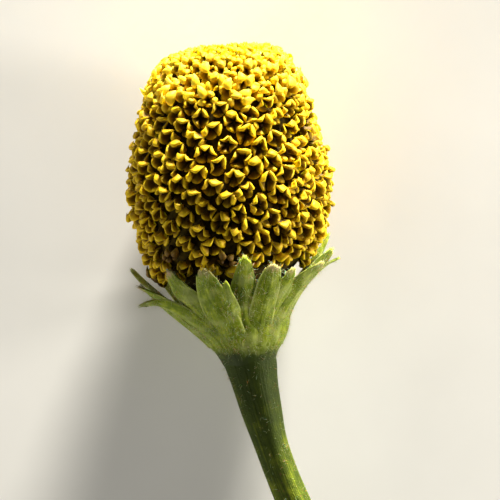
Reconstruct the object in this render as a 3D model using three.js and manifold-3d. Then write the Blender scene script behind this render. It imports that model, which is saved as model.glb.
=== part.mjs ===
// The flower head of a toothache plant, picked with a short length of its stalk and laid on its side.
//
// It is built standing, as it grows, in the head's own frame: +Z is the head's axis, the origin lies on
// that axis where the lowest florets meet the bracts, -Y faces the viewer and the stalk bends towards +X.
// The last lines lay it down, so that +Y is the way the head points and +Z is up.
// Lengths are in millimetres and angles in radians unless a name says otherwise.

import * as THREE from "three";
import { ConvexHull } from "three/addons/math/ConvexHull.js";
import Module from "manifold-3d";

// The head of florets: its outline from the crown to the lowest florets, [distance from the axis, height].
const HEAD_OUTLINE = [
  [0, 15.3], [1.5, 15.28], [3.1, 15.08], [4.25, 14.5], [4.9, 13.7], [5.5, 12.3], [5.92, 10.9],
  [6.25, 9.6], [6.6, 8.2], [6.9, 6.9], [7.0, 5.6], [6.87, 4.1], [6.65, 2.9], [6.35, 1.8],
  [6.05, 0.9], [5.7, 0.15], [5.2, -0.4],
];
// The underside, hidden by the bracts, as rings that close the head: distance, height and points round.
const UNDERSIDE_RINGS = [
  { radius: 4.6, height: -0.75, points: 26 },
  { radius: 3.5, height: -1.2, points: 16 },
  { radius: 1.8, height: -1.5, points: 8 },
];
const UNDERSIDE_HEIGHT = -1.5;
// The crown and the base stand this much higher per millimetre towards +X. Both tilts fade in between
// two heights.
const CROWN_TILT = { rise: 0.035, from: 10, to: 15 };
const BASE_TILT = { rise: 0.1, from: 3.5, to: 0 };

// The florets, which stand in the double spiral of a daisy's disc.
const FLORET_COUNT = 470;
const GOLDEN_ANGLE = Math.PI * (3 - Math.sqrt(5));
const BUD_HEIGHT = 12.9; // above this they are still closed buds
const CROWN_SPACING = 0.62; // spacing at the crown, as a share of that of the open florets
const CROWN_HEIGHT = HEAD_OUTLINE[0][1];
const FULL_SPACING_HEIGHT = 8.5; // below this the spacing no longer grows
const LOBES = 5;
// Shares of a floret's own spacing: distances from its middle, and depths under the outline.
const LOBE_TIP = { reach: 0.47, depth: 0.24 };
const THROAT_RIM = { reach: 0.27, depth: 0 };
const THROAT_DEPTH = 0.5;
const GAP_DEPTH = 0.52;
const BUD_RING = { reach: 0.3, depth: 0.14 };
const DEPTH_SPREAD = 0.06; // how unevenly the florets stand out
const HEX_SHARE = Math.sqrt(3) / 2;

// The green cup that carries the head, and its bracts.
const CUP_OUTLINE = [
  [1.98, -6.05], [2.22, -5.6], [2.72, -4.95], [3.12, -4.2], [3.4, -3.45], [3.55, -2.85],
];
const NECK = { shift: 0.75, from: -0.5, to: -7.5 }; // how far the cup bends to +X, and between what heights
const CUP_TOP = -2.3;
const CUP_TOP_RADIUS = 3.2;
const CUP_SIDES = 28;
// Every bract leaves the cup at its root and turns outwards at its shoulder, as [distance, height]. On the
// +X side a shoulder lies nearer the axis and higher by this much, and on the other side as much farther out.
const BRACT_ROOT = [2.6, -4.8];
const BRACT_SHOULDER = [3.4, -2.7];
const SHOULDER_TILT = [-0.2, 0.5];
const BRACT_THICKNESS = 0.6;
// A bract's form, as [share of its length, share of its full width], from its root to its rounded tip.
const BRACT_FORM = [
  [0, 0.72], [0.18, 0.92], [0.36, 1], [0.54, 0.98], [0.71, 0.9], [0.85, 0.76], [0.94, 0.56], [1, 0.3],
];
const BRACT_LEAD = 2.2; // length over which a bract turns to the direction of its tip
// Round the head from +X towards the viewer: how far the tip reaches out, how high it stands, the width,
// and how far the tip leans out, from 0 for upright to more than 90 for rolled back.
const BRACTS = [
  { azimuth: 10, reach: 7.1, rise: 1.25, width: 2.0, lean: 40 },
  { azimuth: 29, reach: 7.05, rise: 0.35, width: 2.0, lean: 50 },
  { azimuth: 49, reach: 6.8, rise: 0.1, width: 1.9, lean: 35 },
  { azimuth: 66, reach: 6.75, rise: 0.4, width: 1.9, lean: 25 },
  { azimuth: 83, reach: 6.8, rise: 1.15, width: 2.1, lean: 15 },
  { azimuth: 95, reach: 6.5, rise: -0.5, width: 1.2, lean: 30 },
  { azimuth: 107, reach: 6.7, rise: 0.4, width: 2.3, lean: 25 },
  { azimuth: 134, reach: 6.9, rise: 0.45, width: 2.0, lean: 30 },
  { azimuth: 153, reach: 7.6, rise: -2.15, width: 1.9, lean: 115 },
  { azimuth: 171, reach: 7.0, rise: -0.65, width: 2.0, lean: 65 },
  { azimuth: 184, reach: 6.7, rise: -0.5, width: 1.8, lean: 40 },
  { azimuth: 199, reach: 7.75, rise: 0.7, width: 1.6, lean: 35 },
  { azimuth: 220, reach: 6.6, rise: -0.3, width: 1.9, lean: 35 },
  { azimuth: 242, reach: 6.3, rise: -0.5, width: 2.0, lean: 20 },
  { azimuth: 264, reach: 6.25, rise: -0.5, width: 1.9, lean: 20 },
  { azimuth: 286, reach: 6.25, rise: -0.4, width: 2.0, lean: 20 },
  { azimuth: 309, reach: 6.6, rise: 0, width: 1.9, lean: 25 },
  { azimuth: 336, reach: 7.5, rise: 2.5, width: 1.5, lean: 15 },
  { azimuth: 352, reach: 7.75, rise: 0.5, width: 1.6, lean: 80 },
];

// The stalk: its middle line and radius, from the neck under the cup to the slanting cut.
const STALK_STATIONS = [
  { at: [0.78, 0, -6.35], radius: 1.87 },
  { at: [1.02, 0.02, -7.9], radius: 1.58 },
  { at: [1.38, 0.08, -9.8], radius: 1.4 },
  { at: [1.85, 0.2, -11.9], radius: 1.18 },
  { at: [2.5, 0.38, -14.1], radius: 1.13 },
  { at: [3.2, 0.6, -16.1], radius: 1.16 },
  { at: [4.0, 0.88, -18.2], radius: 1.18 },
  { at: [5.0, 1.2, -20.4], radius: 1.2 },
];
const STALK_SIDES = 20;
const STALK_STEPS = 30;
const STALK_RIDGES = 5;
const STALK_RIDGE_SHARE = 0.035;
const STALK_SQUARE_SHARE = 0.3; // by this share of its length its sections stand square to its line
const CUT_SLANT = 0.35;

// Laid down, the head's axis stands this far above the surface, so the lowest lobes are pressed flat.
const AXIS_HEIGHT = 6.6;
const SEED = 20;
const SHORTEST_EDGE = 0.01; // joined solids keep no detail finer than this

const wasm = await Module();
wasm.setup();

// A repeatable stream of random numbers from -1 to 1.
function randomStream(seed) {
  let state = seed;
  return () => {
    state = (state * 1664525 + 1013904223) % 4294967296;
    return (state / 4294967296) * 2 - 1;
  };
}

// A growing closed surface: points, and triangles that run anticlockwise as seen from outside.
class Surface {
  points = [];
  triangles = [];

  point(position) {
    this.points.push(position);
    return this.points.length - 1;
  }

  triangle(a, b, c) {
    this.triangles.push(a, b, c);
  }

  fan(ring, middle) {
    ring.forEach((p, i) => this.triangle(p, ring[(i + 1) % ring.length], middle));
  }

  solid() {
    const vertProperties = new Float32Array(this.points.flatMap((p) => [p.x, p.y, p.z]));
    const triVerts = new Uint32Array(this.triangles);
    return new wasm.Manifold(new wasm.Mesh({ numProp: 3, vertProperties, triVerts }));
  }
}

function geometryOf(solid) {
  const mesh = solid.getMesh();
  const positions = new Float32Array(mesh.numVert * 3);
  for (let i = 0; i < mesh.numVert; i++) {
    positions.set(mesh.vertProperties.subarray(i * mesh.numProp, i * mesh.numProp + 3), i * 3);
  }
  const geometry = new THREE.BufferGeometry();
  geometry.setAttribute("position", new THREE.BufferAttribute(positions, 3));
  geometry.setIndex(new THREE.BufferAttribute(new Uint32Array(mesh.triVerts), 1));
  geometry.computeVertexNormals();
  return geometry;
}

function middleOf(ring) {
  const sum = new THREE.Vector3();
  ring.forEach((p) => sum.add(p));
  return sum.divideScalar(ring.length);
}

// A closed solid through rings of equally many points, each ring anticlockwise as seen from the next.
function solidThroughRings(rings) {
  const surface = new Surface();
  const indices = rings.map((ring) => ring.map((p) => surface.point(p)));
  for (let k = 0; k + 1 < indices.length; k++) {
    const low = indices[k];
    const high = indices[k + 1];
    low.forEach((a, i) => {
      const next = (i + 1) % low.length;
      surface.triangle(a, low[next], high[next]);
      surface.triangle(a, high[next], high[i]);
    });
  }
  surface.fan([...indices[0]].reverse(), surface.point(middleOf(rings[0])));
  surface.fan(indices.at(-1), surface.point(middleOf(rings.at(-1))));
  return surface.solid();
}

// A point at a distance from the head's axis, an azimuth from +X towards the viewer, and a height.
function around(radius, azimuth, height) {
  return new THREE.Vector3(radius * Math.cos(azimuth), -radius * Math.sin(azimuth), height);
}

// How far the green parts are bent towards +X at a height.
function neckShift(height) {
  return NECK.shift * THREE.MathUtils.smoothstep(-height, -NECK.from, -NECK.to);
}

// How much higher a point of the head stands because its crown and its base are tilted.
function tiltAt({ x, z }) {
  const crown = CROWN_TILT.rise * THREE.MathUtils.smoothstep(z, CROWN_TILT.from, CROWN_TILT.to);
  const base = BASE_TILT.rise * THREE.MathUtils.smoothstep(-z, -BASE_TILT.from, -BASE_TILT.to);
  return (crown + base) * x;
}

// Follows the outline from the crown down. Each station knows how many florets have room above it, and
// where it lies on a sphere that keeps the surface's small shapes, on which neighbours can be found.
function surveyHead() {
  const steps = 3000;
  const outline = new THREE.SplineCurve(HEAD_OUTLINE.map(([r, z]) => new THREE.Vector2(r, z)));
  const points = outline.getSpacedPoints(steps);
  const stations = [];
  let room = 0;
  let stretch = 0;
  for (let i = 1; i <= steps; i++) {
    const step = points[i].clone().sub(points[i - 1]);
    const middle = points[i].clone().add(points[i - 1]).multiplyScalar(0.5);
    const below = CROWN_HEIGHT - middle.y;
    const growth = THREE.MathUtils.smoothstep(below, 0, CROWN_HEIGHT - FULL_SPACING_HEIGHT);
    const share = THREE.MathUtils.lerp(CROWN_SPACING, 1, growth);
    room += (2 * Math.PI * middle.x * step.length()) / share ** 2;
    stretch = i === 1 ? Math.log(middle.x) : stretch + step.length() / middle.x;
    const normal = new THREE.Vector2(-step.y, step.x).normalize();
    stations.push({ radius: middle.x, height: middle.y, normal, share, room, stretch });
  }
  return stations;
}

function onSphere(azimuth, stretch, equatorStretch) {
  const polar = 2 * Math.atan(Math.exp(stretch - equatorStretch));
  return around(Math.sin(polar), azimuth, Math.cos(polar));
}

// The florets and, under them, the plain points that close the head, each a cell of its surface.
function cellsOfHead() {
  const random = randomStream(SEED);
  const stations = surveyHead();
  const total = stations.at(-1).room;
  const fullSpacing = Math.sqrt(total / (FLORET_COUNT * HEX_SHARE));
  const equator = stations[Math.floor(stations.length * 0.6)].stretch;
  const cells = [];
  let s = 0;
  for (let i = 0; i < FLORET_COUNT; i++) {
    while (stations[s].room < ((i + 0.5) / FLORET_COUNT) * total) s++;
    const { radius, height, normal, share, stretch } = stations[s];
    const azimuth = -i * GOLDEN_ANGLE;
    const outward = around(normal.x, azimuth, normal.y);
    const spacing = fullSpacing * share;
    const at = around(radius, azimuth, height);
    at.z += tiltAt(at);
    at.addScaledVector(outward, random() * DEPTH_SPREAD);
    const turn = random() * Math.PI;
    const kind = height > BUD_HEIGHT ? "bud" : "floret";
    const sphere = onSphere(azimuth, stretch, equator);
    cells.push({ kind, at, outward, spacing, turn, sphere });
  }
  let last = stations.at(-1);
  for (const ring of UNDERSIDE_RINGS) {
    const run = Math.hypot(ring.radius - last.radius, ring.height - last.height);
    const stretch = last.stretch + (2 * run) / (ring.radius + last.radius);
    for (let k = 0; k < ring.points; k++) {
      const azimuth = (k / ring.points) * 2 * Math.PI;
      const at = around(ring.radius, azimuth, ring.height);
      at.z += tiltAt(at);
      const outward = new THREE.Vector3(0, 0, -1);
      cells.push({ kind: "plain", at, outward, sphere: onSphere(azimuth, stretch, equator) });
    }
    last = { ...ring, stretch };
  }
  const foot = new THREE.Vector3(0, 0, UNDERSIDE_HEIGHT);
  const down = new THREE.Vector3(0, 0, -1);
  cells.push({ kind: "plain", at: foot, outward: down, sphere: down.clone() });
  return cells;
}

// Finds the neighbours of all cells, and puts a corner point in the gap between every three of them.
function addCorners(surface, cells) {
  const numberOf = new Map(cells.map((cell, i) => [cell.sphere, i]));
  cells.forEach((cell) => (cell.corners = []));
  const hull = new ConvexHull().setFromPoints(cells.map((cell) => cell.sphere));
  for (const face of hull.faces) {
    const edges = [face.edge, face.edge.next, face.edge.next.next];
    const three = edges.map((edge) => cells[numberOf.get(edge.head().point)]);
    const middle = new THREE.Vector3();
    const outward = new THREE.Vector3();
    let depth = 0;
    for (const cell of three) {
      middle.addScaledVector(cell.at, 1 / 3);
      outward.add(cell.outward);
      depth += cell.kind === "plain" ? 0 : (cell.spacing * GAP_DEPTH) / 3;
    }
    const position = middle.addScaledVector(outward.normalize(), -depth);
    const corner = { index: surface.point(position), position };
    three.forEach((cell) => cell.corners.push(corner));
  }
}

// Puts a ring's points in order round a cell, as { index, angle }, with the angle growing anticlockwise.
function ordered(cell, ring) {
  const angleOf = (position) => {
    const offset = position.clone().sub(cell.at);
    return Math.atan2(offset.dot(cell.up), offset.dot(cell.along));
  };
  return ring
    .map(({ index, position }) => ({ index, angle: angleOf(position) }))
    .sort((a, b) => a.angle - b.angle);
}

// Joins an outer and an inner ring of different counts with a band of triangles.
function joinRings(surface, outer, inner) {
  const angleAt = (ring, i) => ring[i % ring.length].angle + 2 * Math.PI * Math.floor(i / ring.length);
  const indexAt = (ring, i) => ring[i % ring.length].index;
  let o = 0;
  let n = 0;
  while (o < outer.length || n < inner.length) {
    const outerNext = o < outer.length ? angleAt(outer, o + 1) + angleAt(outer, o) : Infinity;
    const innerNext = n < inner.length ? angleAt(inner, n + 1) + angleAt(inner, n) : Infinity;
    if (outerNext < innerNext) {
      surface.triangle(indexAt(outer, o), indexAt(outer, o + 1), indexAt(inner, n));
      o++;
    } else {
      surface.triangle(indexAt(outer, o), indexAt(inner, n + 1), indexAt(inner, n));
      n++;
    }
  }
}

function ringOf(surface, cell, { reach, depth }, turn) {
  return Array.from({ length: LOBES }, (_, k) => {
    const angle = turn + (k / LOBES) * 2 * Math.PI;
    const position = cell.at
      .clone()
      .addScaledVector(cell.along, Math.cos(angle) * reach * cell.spacing)
      .addScaledVector(cell.up, Math.sin(angle) * reach * cell.spacing)
      .addScaledVector(cell.outward, -depth * cell.spacing);
    return { index: surface.point(position), position };
  });
}

// One cell of the head: an open floret with five drooping lobes round its throat, a domed bud, or plain.
function addCell(surface, cell) {
  const corners = ordered(cell, cell.corners);
  const middle = cell.at.clone();
  if (cell.kind === "plain") {
    surface.fan(corners.map((c) => c.index), surface.point(middle));
    return;
  }
  if (cell.kind === "bud") {
    const ring = ordered(cell, ringOf(surface, cell, BUD_RING, cell.turn));
    joinRings(surface, corners, ring);
    surface.fan(ring.map((c) => c.index), surface.point(middle));
    return;
  }
  const halfLobe = Math.PI / LOBES;
  const tips = ordered(cell, ringOf(surface, cell, LOBE_TIP, cell.turn));
  const rim = ordered(cell, ringOf(surface, cell, THROAT_RIM, cell.turn + halfLobe));
  middle.addScaledVector(cell.outward, -THROAT_DEPTH * cell.spacing);
  joinRings(surface, corners, tips);
  joinRings(surface, tips, rim);
  surface.fan(rim.map((c) => c.index), surface.point(middle));
}

// The head of florets, pressed flat where it lies on the surface.
function floretSolid() {
  const surface = new Surface();
  const cells = cellsOfHead();
  addCorners(surface, cells);
  const axis = new THREE.Vector3(0, 0, 1);
  for (const cell of cells) {
    cell.along = new THREE.Vector3().crossVectors(axis, cell.outward);
    if (cell.along.length() < 0.01) cell.along.set(1, 0, 0);
    cell.along.normalize();
    cell.up = new THREE.Vector3().crossVectors(cell.outward, cell.along);
    addCell(surface, cell);
  }
  const table = new THREE.BoxGeometry(40, 10, 60).translate(0, AXIS_HEIGHT + 5, 0);
  return surface.solid().subtract(solidOfGeometry(table));
}

function solidOfGeometry(geometry) {
  const surface = new Surface();
  const position = geometry.getAttribute("position");
  const numbers = new Map();
  const numberAt = (i) => {
    const p = new THREE.Vector3().fromBufferAttribute(position, i);
    const key = p.toArray().map((v) => v.toFixed(4)).join();
    if (!numbers.has(key)) numbers.set(key, surface.point(p));
    return numbers.get(key);
  };
  for (let i = 0; i < geometry.index.count; i += 3) {
    const [a, b, c] = [0, 1, 2].map((k) => numberAt(geometry.index.getX(i + k)));
    if (a !== b && b !== c && c !== a) surface.triangle(a, b, c);
  }
  return surface.solid();
}

// The solid funnel that the bracts grow from.
function cupSolid() {
  const profile = [...CUP_OUTLINE, [CUP_TOP_RADIUS, CUP_TOP]];
  const rings = profile.map(([radius, height]) =>
    Array.from({ length: CUP_SIDES }, (_, k) => {
      const point = around(radius, (-k / CUP_SIDES) * 2 * Math.PI, height);
      point.x += neckShift(height);
      return point;
    }),
  );
  return solidThroughRings(rings);
}

// One bract: a blade that leaves the cup, widens and narrows to its tip, and follows the head's roundness.
function bractSolid({ azimuth, reach, rise, width, lean }) {
  const middle = THREE.MathUtils.degToRad(azimuth);
  const leanOut = THREE.MathUtils.degToRad(lean);
  const tip = new THREE.Vector2(reach, rise);
  const tilt = new THREE.Vector2(...SHOULDER_TILT).multiplyScalar(Math.cos(middle));
  const lead = new THREE.Vector2(Math.sin(leanOut), Math.cos(leanOut)).multiplyScalar(BRACT_LEAD);
  const path = new THREE.CubicBezierCurve(
    new THREE.Vector2(...BRACT_ROOT),
    new THREE.Vector2(...BRACT_SHOULDER).add(tilt),
    tip.clone().sub(lead),
    tip,
  );
  const rings = [];
  for (const [share, breadth] of BRACT_FORM) {
    const at = path.getPoint(share);
    const along = path.getTangent(share);
    const side = new THREE.Vector2(along.y, -along.x).multiplyScalar(BRACT_THICKNESS / 2);
    const half = (width * breadth) / 2 / at.x;
    const outer = [1, 0, -1].map((u) => around(at.x + side.x, middle + u * half, at.y + side.y));
    const inner = [-1, 0, 1].map((u) => around(at.x - side.x, middle + u * half, at.y - side.y));
    const ring = [...outer, ...inner];
    ring.forEach((point) => (point.x += neckShift(point.z)));
    rings.push(ring);
  }
  return solidThroughRings(rings);
}

// A joined solid without the hollows that the joining sealed inside it.
function withoutSealedHollows(solid) {
  return solid.decompose().filter((body) => body.volume() > 0)[0];
}

function involucreSolid() {
  const joined = BRACTS.reduce((green, bract) => green.add(bractSolid(bract)), cupSolid());
  return withoutSealedHollows(joined.simplify(SHORTEST_EDGE));
}

// The stalk, faintly five-ridged and cut on the slant.
function stalkSolid() {
  const line = new THREE.CatmullRomCurve3(STALK_STATIONS.map(({ at }) => new THREE.Vector3(...at)));
  const radii = new THREE.SplineCurve(STALK_STATIONS.map(({ radius }, i) => new THREE.Vector2(i, radius)));
  const rings = [];
  for (let step = STALK_STEPS; step >= 0; step--) {
    const t = step / STALK_STEPS;
    const middle = line.getPoint(t);
    const square = THREE.MathUtils.smoothstep(t, 0, STALK_SQUARE_SHARE);
    const along = new THREE.Vector3(0, 0, 1).lerp(line.getTangent(t).negate(), square).normalize();
    const across = new THREE.Vector3(0, 1, 0).cross(along).normalize();
    const away = new THREE.Vector3().crossVectors(along, across);
    const radius = radii.getPoint(t).y;
    const atCut = step === STALK_STEPS;
    rings.push(
      Array.from({ length: STALK_SIDES }, (_, k) => {
        const angle = (k / STALK_SIDES) * 2 * Math.PI;
        const ridged = radius * (1 + STALK_RIDGE_SHARE * Math.cos(STALK_RIDGES * angle));
        const point = middle
          .clone()
          .addScaledVector(across, Math.cos(angle) * ridged)
          .addScaledVector(away, Math.sin(angle) * ridged);
        if (atCut) point.addScaledVector(along, Math.cos(angle) * radius * CUT_SLANT);
        return point;
      }),
    );
  }
  return solidThroughRings(rings);
}

const florets = new THREE.MeshStandardMaterial({ color: "#e3b414", roughness: 0.5, metalness: 0 });
const bracts = new THREE.MeshStandardMaterial({ color: "#6f8a3c", roughness: 0.65, metalness: 0 });
const stalk = new THREE.MeshStandardMaterial({ color: "#66802b", roughness: 0.6, metalness: 0 });

function named(name, solid, material) {
  const mesh = new THREE.Mesh(geometryOf(solid), material);
  mesh.name = name;
  return mesh;
}

const flower = new THREE.Group();
flower.add(named("disc_florets", floretSolid(), florets));
flower.add(named("involucre", involucreSolid(), bracts));
flower.add(named("peduncle", stalkSolid(), stalk));

// Laid on its side, over the middle of the rectangle that it covers.
flower.rotation.x = -Math.PI / 2;
flower.position.z = AXIS_HEIGHT;
flower.updateMatrixWorld(true);
const covered = new THREE.Box3().setFromObject(flower, true).getCenter(new THREE.Vector3());
flower.position.x -= covered.x;
flower.position.y -= covered.y;

const part = new THREE.Group();
part.add(flower);
export default part;
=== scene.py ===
# %% [markdown]
# # The flower head of a toothache plant
# One picked flower head lies on its side on a pale surface, and the camera looks straight down on it.
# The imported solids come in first, as a frame that nothing here moves. Each later cell grows one finer
# piece over them: the florets, the bracts and their cup, the stalk, and the hairs on everything green.

# %% Load the solids
import math

import bpy
import numpy as np
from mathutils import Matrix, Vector


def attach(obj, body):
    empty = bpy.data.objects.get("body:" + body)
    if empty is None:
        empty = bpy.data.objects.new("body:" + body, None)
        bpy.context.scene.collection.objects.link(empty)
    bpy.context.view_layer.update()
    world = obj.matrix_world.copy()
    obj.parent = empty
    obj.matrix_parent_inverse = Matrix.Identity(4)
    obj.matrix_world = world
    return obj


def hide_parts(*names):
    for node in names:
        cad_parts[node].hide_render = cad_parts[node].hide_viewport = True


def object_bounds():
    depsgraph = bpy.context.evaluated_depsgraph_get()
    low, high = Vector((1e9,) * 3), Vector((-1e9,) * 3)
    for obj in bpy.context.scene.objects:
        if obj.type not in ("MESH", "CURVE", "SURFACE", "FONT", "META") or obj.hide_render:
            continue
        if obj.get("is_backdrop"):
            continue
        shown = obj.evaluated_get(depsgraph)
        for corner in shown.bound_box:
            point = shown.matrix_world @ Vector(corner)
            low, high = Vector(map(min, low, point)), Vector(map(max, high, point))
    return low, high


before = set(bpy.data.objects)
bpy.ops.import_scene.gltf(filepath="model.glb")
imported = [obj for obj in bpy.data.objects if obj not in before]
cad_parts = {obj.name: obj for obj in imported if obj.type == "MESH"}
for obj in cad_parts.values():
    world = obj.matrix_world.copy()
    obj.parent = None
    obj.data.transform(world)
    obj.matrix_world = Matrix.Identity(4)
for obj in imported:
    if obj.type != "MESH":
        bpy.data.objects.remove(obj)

cad_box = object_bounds()
MM = 0.001
print("solids:", ", ".join(sorted(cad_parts)))

# %% [markdown]
# The flower is easiest to think of standing, as it grows. In the head's own frame +Z is the head's axis,
# -Y faces the camera, +X is where the stalk bends, and the origin lies where the lowest florets meet the
# bracts. The stalk's top ring is known in that frame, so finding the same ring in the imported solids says
# where the head's frame lies. Laid down, anything that would sink into the surface is pressed flat on it.

# %% Find the head's own frame
AXIS_HEIGHT = 6.6
NECK_X = 0.78
NECK_HEIGHT = -6.35
RING_TOLERANCE = 0.01

stalk_points = np.array([v.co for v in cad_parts["peduncle"].data.vertices]) / MM
ring_start = stalk_points[:, 1].max() - RING_TOLERANCE
neck_ring = np.unique(stalk_points[stalk_points[:, 1] > ring_start].round(4), axis=0)
HEAD_X = neck_ring[:, 0].mean() - NECK_X
HEAD_Y = neck_ring[:, 1].max() - NECK_HEIGHT


def laid(points):
    """Points of the head's frame, in mm, on the laid flower, in metres."""
    x, y, z = np.moveaxis(np.asarray(points, float), -1, 0)
    return np.stack([HEAD_X + x, HEAD_Y + z, np.maximum(AXIS_HEIGHT - y, 0)], -1) * MM


def around(radius, azimuth, height):
    """Points at a distance from the axis, an azimuth from +X towards the camera, and a height."""
    radius, azimuth, height = np.broadcast_arrays(radius, azimuth, height)
    return np.stack([radius * np.cos(azimuth), -radius * np.sin(azimuth), height], -1)


print(f"head's origin at x {HEAD_X:.3f} mm, y {HEAD_Y:.3f} mm")

# %% [markdown]
# The photograph was taken square to the head's axis, so with the flower lying down the camera hangs
# straight above it. The head leans three degrees to the left in the picture, which is a roll of the
# camera. A long lens from 20 cm away keeps the near florets at nearly the same scale as the outline. The
# camera's distance and the picture's width are in mm, and so is its middle, in the head's own frame.

# %% Camera
CAMERA_DISTANCE = 200
PICTURE_WIDTH = 34.5
PICTURE_MIDDLE = (1.2, 0, 1.33)
HEAD_LEAN = math.radians(3)

camera_data = bpy.data.cameras.new("camera")
camera_data.sensor_width = 36
camera_data.lens = camera_data.sensor_width * CAMERA_DISTANCE / PICTURE_WIDTH
camera_data.clip_start = 10 * MM
camera = bpy.data.objects.new("camera", camera_data)
camera.location = laid(PICTURE_MIDDLE)
camera.location.z += CAMERA_DISTANCE * MM
camera.rotation_euler = (0, 0, -HEAD_LEAN)
bpy.context.scene.collection.objects.link(camera)
bpy.context.scene.camera = camera
print(f"camera: lens {camera_data.lens:.0f} mm")

# %% [markdown]
# Every piece is a closed skin over rings of points, whether it is a stalk, a bract, a corolla or a hair,
# so one function makes them all: quads between neighbouring rings and a pole in the middle of each end.
# Rings run anticlockwise as seen from the next ring, which is what turns the faces outwards.

# %% Skins and pieces
def skin(rings):
    """The points and faces of a closed skin over rings, an array of rows, columns and coordinates."""
    rings = np.asarray(rings, float)
    rows, columns = rings.shape[:2]
    points = np.concatenate([rings.reshape(-1, 3), [rings[0].mean(0), rings[-1].mean(0)]])
    index = np.arange(rows * columns).reshape(rows, columns)
    low, high = index[:-1], index[1:]
    quads = np.stack([low, np.roll(low, -1, 1), np.roll(high, -1, 1), high], -1).reshape(-1, 4)
    first, last = rows * columns, rows * columns + 1
    faces = quads.tolist()
    faces += [[b, a, first] for a, b in zip(index[0], np.roll(index[0], -1))]
    faces += [[a, b, last] for a, b in zip(index[-1], np.roll(index[-1], -1))]
    return points, faces


def with_poles(values):
    """A value for each point of the rings, and then for the two poles."""
    values = np.asarray(values, float)
    return np.concatenate([values.ravel(), [values[0].mean(), values[-1].mean()]])


def mesh_of(name, skins, attributes=None):
    """One smooth mesh of several skins, with a list of values for each named attribute of its points."""
    points, faces, start = [], [], 0
    for skin_points, skin_faces in skins:
        points.append(skin_points)
        faces += [[start + int(i) for i in face] for face in skin_faces]
        start += len(skin_points)
    mesh = bpy.data.meshes.new(name)
    mesh.from_pydata(np.concatenate(points).tolist(), [], faces)
    for key, values in (attributes or {}).items():
        mesh.attributes.new(key, "FLOAT", "POINT").data.foreach_set("value", np.concatenate(values))
    mesh.shade_smooth()
    return mesh


def show(name, mesh, material=None):
    """Puts a mesh in the scene as an object of its own."""
    made = bpy.data.objects.new(name, mesh)
    bpy.context.scene.collection.objects.link(made)
    if material:
        mesh.materials.append(material)
    return made


def finish_piece(piece, node_name):
    """Hangs a finished piece on the root, hides the solid it stands for, and says how large it is."""
    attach(piece, "root")
    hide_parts(node_name)
    corners = np.array([v.co for v in piece.data.vertices]) / MM
    triangles = sum(len(p.vertices) - 2 for p in piece.data.polygons)
    size = " x ".join(f"{side:.1f}" for side in np.ptp(corners, axis=0))
    print(f"{piece.name}: {triangles} triangles, {size} mm")


# %% [markdown]
# Shader trees and geometry trees are both lists of nodes with settings and links, so one helper adds a
# node of either kind. An input that is given a socket is linked to it, and one that is given a node is
# linked to the first output which that node has in use. Any other value is set on the input itself.
# Colours are written as they look on a screen and turned to the linear values that shaders use.

# %% Nodes and colours
def linear(hex_colour):
    """A screen colour as the linear values that shaders use."""
    values = [int(hex_colour[i : i + 2], 16) / 255 for i in (1, 3, 5)]
    return [v / 12.92 if v <= 0.04045 else ((v + 0.055) / 1.055) ** 2.4 for v in values] + [1]


def set_inputs(tree, node, inputs):
    """Links or sets some of a node's inputs, which are keyed by name or number."""
    for key, value in inputs.items():
        if isinstance(value, bpy.types.Node):
            value = next(socket for socket in value.outputs if socket.enabled)
        if isinstance(value, bpy.types.NodeSocket):
            tree.links.new(value, node.inputs[key])
        else:
            node.inputs[key].default_value = value


def add_node(tree, kind, inputs=None, stops=None, **settings):
    """Adds a node with its settings and inputs. Stops are the places and colours of a colour ramp."""
    made = tree.nodes.new(kind)
    for name, value in settings.items():
        setattr(made, name, value)
    set_inputs(tree, made, inputs or {})
    for i, (place, colour) in enumerate(stops or []):
        ramp = made.color_ramp.elements
        stop = ramp[i] if i < 2 else ramp.new(place)
        stop.position, stop.color = place, linear(colour)
    return made


def new_material(name, *attributes):
    """A material with its tree and surface node, and the values of the attributes that it reads."""
    material = bpy.data.materials.new(name)
    material.use_nodes = True
    tree = material.node_tree
    read = [add_node(tree, "ShaderNodeAttribute", attribute_name=key).outputs["Fac"] for key in attributes]
    return material, tree, tree.nodes["Principled BSDF"], *read


print("a screen's mid grey in linear values:", round(linear("#808080")[0], 3))

# %% [markdown]
# A fresh petal of this plant is waxy and a little translucent: light that enters a lobe comes out again
# deeper golden, so the colour needs subsurface light and not only a yellow skin. The throat is painted from
# brownish gold down to near black with depth, a painted shade, and the lobes' undersides are painted a
# deeper gold as shade. An open lobe is brightest along its fold and painted deeper gold at its hanging tip,
# a painted shade; a young one is bright to the tip, and no two florets have quite the same age and colour.
# The skin has cells of about 0.05 mm, which are drawn at 0.12 mm here so that they show as a faint grain.

# %% Waxy petals
PETAL_MOTTLE = 0.5 * MM
MOTTLE_SHARE = 0.3
PETAL_GRAIN = 0.12 * MM


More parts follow.
